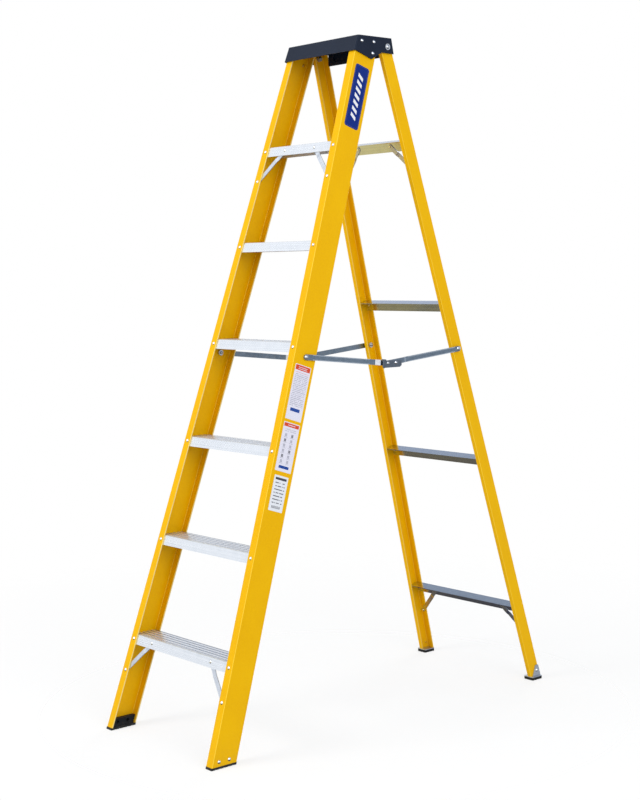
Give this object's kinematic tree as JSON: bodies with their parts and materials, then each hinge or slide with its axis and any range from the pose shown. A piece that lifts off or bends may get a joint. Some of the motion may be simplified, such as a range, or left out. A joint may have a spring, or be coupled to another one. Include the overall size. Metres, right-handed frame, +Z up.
{
  "type": "step ladder",
  "caption": "Single-sided folding step ladder with fibreglass channel rails, ribbed aluminium treads, a moulded top cap, a braced rear frame and locking steel spreaders.",
  "frame": {"origin": "on the floor, at the middle of the open ladder's footprint", "axes": "+X across the ladder to the user's right when facing the treads, +Y from the treads towards the rear frame, +Z up"},
  "size_m": [0.5564, 1.397, 2.1085],
  "materials": {
    "fibreglass": "pultruded yellow fibreglass, satin",
    "tread_aluminium": "mill-finish extruded aluminium",
    "brace_aluminium": "mill-finish aluminium strip",
    "bar_aluminium": "mill-finish aluminium angle",
    "rivet": "bright domed aluminium rivet",
    "cap_plastic": "moulded black-blue polypropylene",
    "foot_rubber": "moulded black rubber",
    "foot_plastic": "moulded black foot",
    "spreader_steel": "galvanised steel",
    "bracket_steel": "zinc-plated steel",
    "bolt_steel": "zinc-plated steel",
    "name_label": "plain blue vinyl label",
    "notice_label": "white vinyl label with a red band and no text",
    "rating_label": "white vinyl label with plain dark bars and no text"
  },
  "bodies": {
    "front_frame": {"front_rail_right": "fibreglass", "front_rail_left": "fibreglass", "step_1": "tread_aluminium", "step_2": "tread_aluminium", "step_3": "tread_aluminium", "step_4": "tread_aluminium", "step_5": "tread_aluminium", "step_6": "tread_aluminium", "step_rivets": "rivet", "step_1_brace_right": "brace_aluminium", "step_1_brace_left": "brace_aluminium", "step_6_brace_right": "brace_aluminium", "step_6_brace_left": "brace_aluminium", "step_brace_rivets": "rivet", "front_foot_right": "foot_plastic", "front_foot_left": "foot_plastic", "front_foot_rivets": "rivet", "spreader_front_bolts": "bolt_steel", "spreader_front_nuts": "bolt_steel", "spreader_front_spacers": "bolt_steel", "top_cap": "cap_plastic", "cap_rivets": "rivet", "pivot_bolts": "bolt_steel", "pivot_washers": "bolt_steel", "pivot_nuts": "bolt_steel", "name_plate": "name_label", "instruction_labels": "notice_label", "rating_label": "rating_label"},
    "rear_frame": {"rear_rail_right": "fibreglass", "rear_rail_left": "fibreglass", "rear_bar_1": "bar_aluminium", "rear_bar_2": "bar_aluminium", "rear_bar_3": "bar_aluminium", "rear_bar_4": "bar_aluminium", "rear_bar_rivets": "rivet", "rear_bar_1_brace_right": "brace_aluminium", "rear_bar_1_brace_left": "brace_aluminium", "rear_bar_4_brace_right": "brace_aluminium", "rear_bar_4_brace_left": "brace_aluminium", "rear_brace_rivets": "rivet", "rear_foot_bracket_right": "bracket_steel", "rear_foot_bracket_left": "bracket_steel", "rear_foot_pad_right": "foot_rubber", "rear_foot_pad_left": "foot_rubber", "rear_foot_rivets": "rivet", "spreader_rear_bolts": "bolt_steel", "spreader_rear_nuts": "bolt_steel", "spreader_rear_spacers": "bolt_steel"},
    "spreader_front_right": {"spreader_front_arm_right": "spreader_steel"},
    "spreader_rear_right": {"spreader_rear_arm_right": "spreader_steel", "spreader_clip_right": "spreader_steel", "spreader_hinge_pin_right": "bolt_steel", "spreader_clip_rivet_right": "rivet", "spreader_rear_head_right": "bolt_steel"},
    "spreader_front_left": {"spreader_front_arm_left": "spreader_steel"},
    "spreader_rear_left": {"spreader_rear_arm_left": "spreader_steel", "spreader_clip_left": "spreader_steel", "spreader_hinge_pin_left": "bolt_steel", "spreader_clip_rivet_left": "rivet", "spreader_rear_head_left": "bolt_steel"}
  },
  "joints": [
    {"name": "rear_frame_fold", "type": "hinge", "parent": "front_frame", "child": "rear_frame", "pos_m": [0, 0.10911, 2.081], "axis": [-1, 0, 0], "range_deg": [0, 33.48]},
    {"name": "spreader_front_pivot_right", "type": "hinge", "parent": "front_frame", "child": "spreader_front_right", "pos_m": [0.21713, -0.27927, 1.1417], "axis": [1, 0, 0], "range_deg": [0, 91.43]},
    {"name": "spreader_mid_hinge_right", "type": "hinge", "parent": "spreader_front_right", "child": "spreader_rear_right", "pos_m": [0.21713, 0.04673, 1.1075], "axis": [-1, 0, 0], "range_deg": [0, 176.79]},
    {"name": "spreader_front_pivot_left", "type": "hinge", "parent": "front_frame", "child": "spreader_front_left", "pos_m": [-0.21713, -0.27927, 1.1417], "axis": [1, 0, 0], "range_deg": [0, 91.43]},
    {"name": "spreader_mid_hinge_left", "type": "hinge", "parent": "spreader_front_left", "child": "spreader_rear_left", "pos_m": [-0.21713, 0.04673, 1.1075], "axis": [-1, 0, 0], "range_deg": [0, 176.79]}
  ],
  "couplings": [
    {"joint": "spreader_front_pivot_right", "follows": "rear_frame_fold", "ratio": 2.7306},
    {"joint": "spreader_mid_hinge_right", "follows": "rear_frame_fold", "ratio": 5.2801},
    {"joint": "spreader_front_pivot_left", "follows": "rear_frame_fold", "ratio": 2.7306},
    {"joint": "spreader_mid_hinge_left", "follows": "rear_frame_fold", "ratio": 5.2801}
  ]
}
